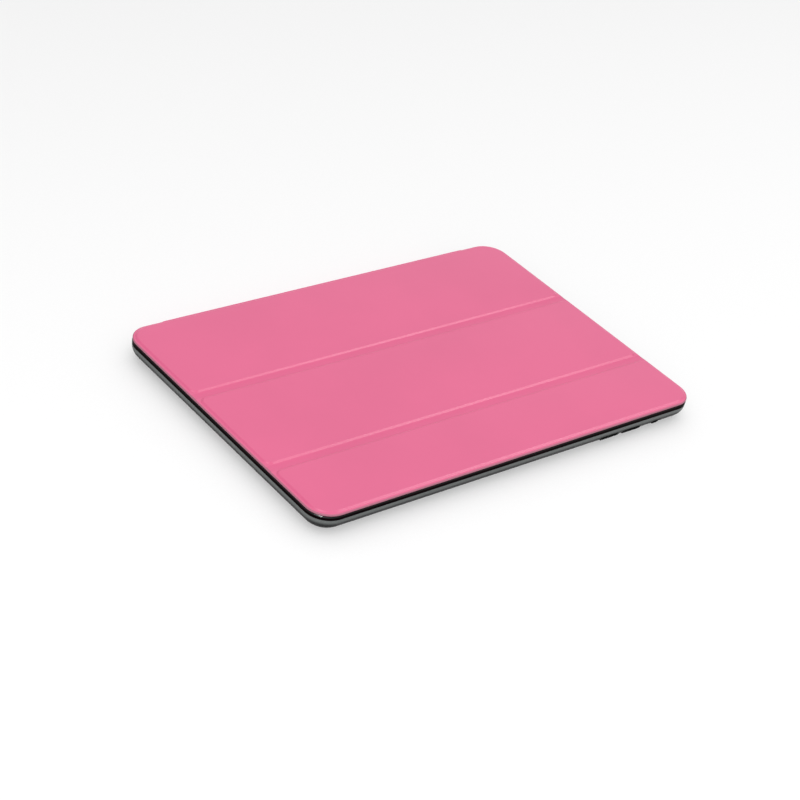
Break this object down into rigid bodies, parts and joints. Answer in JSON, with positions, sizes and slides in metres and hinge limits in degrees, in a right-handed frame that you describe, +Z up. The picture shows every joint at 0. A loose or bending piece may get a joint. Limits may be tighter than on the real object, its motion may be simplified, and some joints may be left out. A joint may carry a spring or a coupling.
{
  "type": "tablet folio case",
  "caption": "Slim hard rear shell for a small tablet with a glossy rim, side keys and a leather-look cover whose three panels close over the screen or fold into a stand.",
  "frame": {"origin": "centre of the rear shell's flat underside, with the case closed and lying on its back", "axes": "+Z up through the case to the cover, +X along the long side towards the tablet's top end, +Y towards the spine, -Y the side with the keys"},
  "size_m": [0.2036, 0.1396, 0.0109],
  "materials": {
    "graphite_shell": "satin moulded graphite-grey plastic",
    "gloss_rim": "glossy black plastic",
    "key_black": "semi-gloss black plastic",
    "leather_skin": "smooth satin pink coated leather",
    "microfibre_lining": "soft pink microfibre",
    "pad_microfibre": "dark grey microfibre",
    "stiffener": "plain grey stiffening board",
    "silicone": "dark silicone sheet",
    "tape": "adhesive film",
    "magnet_steel": "nickel-plated"
  },
  "bodies": {
    "shell": {"rear_shell": "graphite_shell", "rim_frame": "gloss_rim", "back_pad": "pad_microfibre", "latch_keeper_left": "magnet_steel", "latch_keeper_right": "magnet_steel", "volume_key_membrane": "silicone", "power_key_membrane": "silicone", "hinge_flap": "leather_skin", "flap_tape": "tape", "lower_hinge_web": "leather_skin"},
    "volume_down_key": {"volume_down_cap": "key_black"},
    "volume_up_key": {"volume_up_cap": "key_black"},
    "power_key": {"power_key_cap": "key_black"},
    "mute_switch": {"mute_switch_cap": "key_black"},
    "spine": {"spine_skin": "leather_skin", "spine_board": "stiffener", "spine_lining": "microfibre_lining"},
    "hinge_panel": {"hinge_panel_skin": "leather_skin", "hinge_panel_board": "stiffener", "hinge_panel_lining": "microfibre_lining", "inner_fold_web": "leather_skin", "inner_fold_lining": "microfibre_lining", "upper_hinge_web": "leather_skin", "stand_plate": "magnet_steel"},
    "middle_panel": {"middle_panel_skin": "leather_skin", "middle_panel_board": "stiffener", "middle_panel_lining": "microfibre_lining", "outer_fold_web": "leather_skin", "outer_fold_lining": "microfibre_lining"},
    "free_panel": {"free_panel_skin": "leather_skin", "free_panel_board": "stiffener", "free_panel_lining": "microfibre_lining", "latch_magnet_left": "magnet_steel", "latch_magnet_right": "magnet_steel", "wake_magnet": "magnet_steel"}
  },
  "joints": [
    {"name": "spine_hinge", "type": "hinge", "parent": "shell", "child": "spine", "pos_m": [0, 0.0708, -0.0001], "axis": [1, 0, 0], "range_deg": [-90, 0]},
    {"name": "cover_hinge", "type": "hinge", "parent": "spine", "child": "hinge_panel", "pos_m": [0, 0.0708, 0.01101], "axis": [1, 0, 0], "range_deg": [-270, 0]},
    {"name": "inner_fold", "type": "hinge", "parent": "hinge_panel", "child": "middle_panel", "pos_m": [0, 0.0181, 0.01096], "axis": [-1, 0, 0], "range_deg": [0, 140]},
    {"name": "outer_fold", "type": "hinge", "parent": "middle_panel", "child": "free_panel", "pos_m": [0, -0.0343, 0.01096], "axis": [-1, 0, 0], "range_deg": [0, 110]},
    {"name": "volume_down_press", "type": "slide", "parent": "shell", "child": "volume_down_key", "axis": [0, 0.7913, 0.6114], "range_m": [0, 0.0003], "stiffness_N_per_m": 400},
    {"name": "volume_up_press", "type": "slide", "parent": "shell", "child": "volume_up_key", "axis": [0, 0.7913, 0.6114], "range_m": [0, 0.0003], "stiffness_N_per_m": 400},
    {"name": "power_press", "type": "slide", "parent": "shell", "child": "power_key", "axis": [-0.7913, 0, 0.6114], "range_m": [0, 0.0003], "stiffness_N_per_m": 400},
    {"name": "mute_slide", "type": "slide", "parent": "shell", "child": "mute_switch", "axis": [1, 0, 0], "range_m": [0, 0.0015]}
  ]
}
